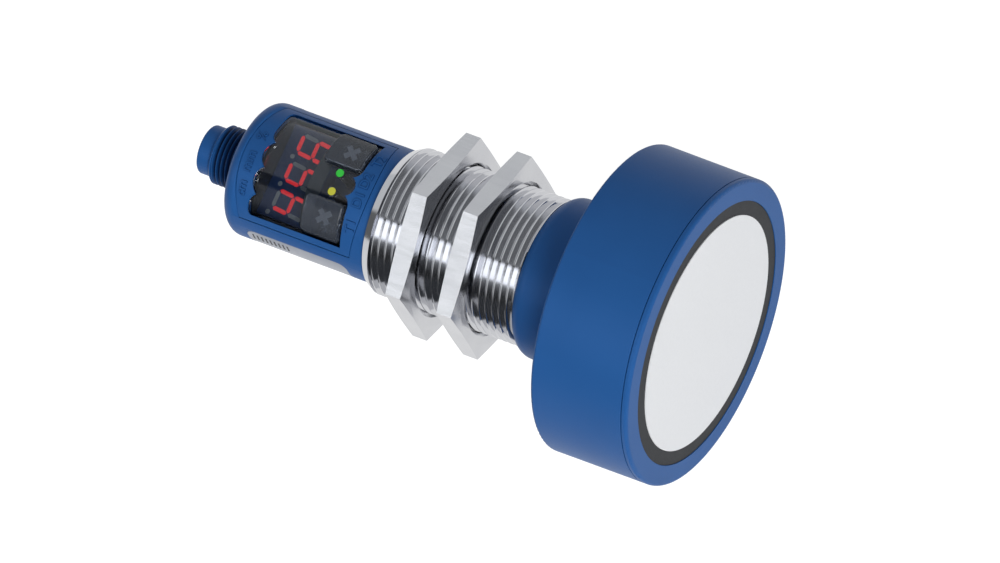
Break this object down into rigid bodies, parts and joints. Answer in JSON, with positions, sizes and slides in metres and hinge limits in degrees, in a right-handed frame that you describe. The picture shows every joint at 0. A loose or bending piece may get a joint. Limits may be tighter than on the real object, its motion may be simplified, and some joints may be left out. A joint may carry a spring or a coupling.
{
  "type": "ultrasonic sensor",
  "caption": "Ultrasonic distance sensor with a threaded metal sleeve, a round sensing head, hexagon clamping nuts, a rear display with two keys and a round plug.",
  "frame": {"origin": "centre of the sensing face, on the sensor's axis", "axes": "+X out of the sensing face along the sensor's axis, +Z out of the display, +Y towards the green status light's key"},
  "size_m": [0.111, 0.0626, 0.0626],
  "materials": {
    "housing_blue": "fine satin moulded polyester",
    "bezel_blue": "fine satin moulded polyester",
    "sensing_face": "smooth matt glass-filled resin",
    "soft_seal": "soft matt",
    "nickel_brass": "bright nickel plate, turned thread",
    "nut_nickel": "nickel plate over brushed flats",
    "smoked_window": "smoked clear, polished",
    "smoked_key": "smoked clear, polished",
    "display_block": "dark filter face",
    "circuit_board": "solder resist",
    "pipe_yellow": "clear tinted",
    "pipe_green": "clear tinted",
    "lamp_white": "clear resin",
    "foil_label": "satin foil",
    "insert_plastic": "moulded",
    "contact_gold": "gold plate",
    "piezo_ceramic": "fired and silvered",
    "foam": "closed-cell foam",
    "copper_lead": "tinned copper",
    "ferrite": "sintered ferrite with a wound coil",
    "capacitor_can": "sleeved can",
    "chip_black": "moulded epoxy",
    "shroud_dark": "moulded, dark",
    "switch_white": "moulded",
    "ribbon_amber": "polyimide film",
    "potting_resin": "cast resin"
  },
  "bodies": {
    "sensor": {"head_housing": "housing_blue", "front_bezel": "bezel_blue", "face_seal": "soft_seal", "matching_layer": "sensing_face", "piezo_disc": "piezo_ceramic", "backing_foam": "foam", "transducer_lead_1": "copper_lead", "transducer_lead_2": "copper_lead", "threaded_sleeve": "nickel_brass", "front_sleeve_seal": "soft_seal", "rear_sleeve_seal": "soft_seal", "rear_housing": "housing_blue", "display_panel": "housing_blue", "display_window": "smoked_window", "key_switch_t1": "chip_black", "key_switch_t2": "chip_black", "display_module": "display_block", "light_shroud": "shroud_dark", "control_board": "circuit_board", "status_led_d1": "lamp_white", "status_led_d2": "lamp_white", "light_pipe_d1": "pipe_yellow", "light_pipe_d2": "pipe_green", "unit_led_1": "lamp_white", "unit_led_2": "lamp_white", "unit_led_3": "lamp_white", "type_label": "foil_label", "connector_insert": "insert_plastic", "contact_pin_1": "contact_gold", "contact_pin_2": "contact_gold", "contact_pin_3": "contact_gold", "contact_pin_4": "contact_gold", "contact_pin_5": "contact_gold", "driver_board": "circuit_board", "transformer": "ferrite", "storage_capacitor": "capacitor_can", "microcontroller": "chip_black", "board_ribbon": "ribbon_amber", "sleeve_potting": "potting_resin"},
    "nut_front": {"nut_front": "nut_nickel"},
    "nut_rear": {"nut_rear": "nut_nickel"},
    "key_t1": {"key_t1": "smoked_key", "switch_plunger_t1": "switch_white"},
    "key_t2": {"key_t2": "smoked_key", "switch_plunger_t2": "switch_white"}
  },
  "joints": [
    {"name": "nut_front_slide", "type": "slide", "parent": "sensor", "child": "nut_front", "axis": [1, 0, 0], "range_m": [-0.0034, 0.0095]},
    {"name": "nut_rear_slide", "type": "slide", "parent": "sensor", "child": "nut_rear", "axis": [1, 0, 0], "range_m": [-0.0075, 0.0034]},
    {"name": "key_t1_press", "type": "slide", "parent": "sensor", "child": "key_t1", "axis": [0, 0, -1], "range_m": [0, 0.0004], "stiffness_N_per_m": 1500, "springref_m": -0.0002},
    {"name": "key_t2_press", "type": "slide", "parent": "sensor", "child": "key_t2", "axis": [0, 0, -1], "range_m": [0, 0.0004], "stiffness_N_per_m": 1500, "springref_m": -0.0002}
  ]
}
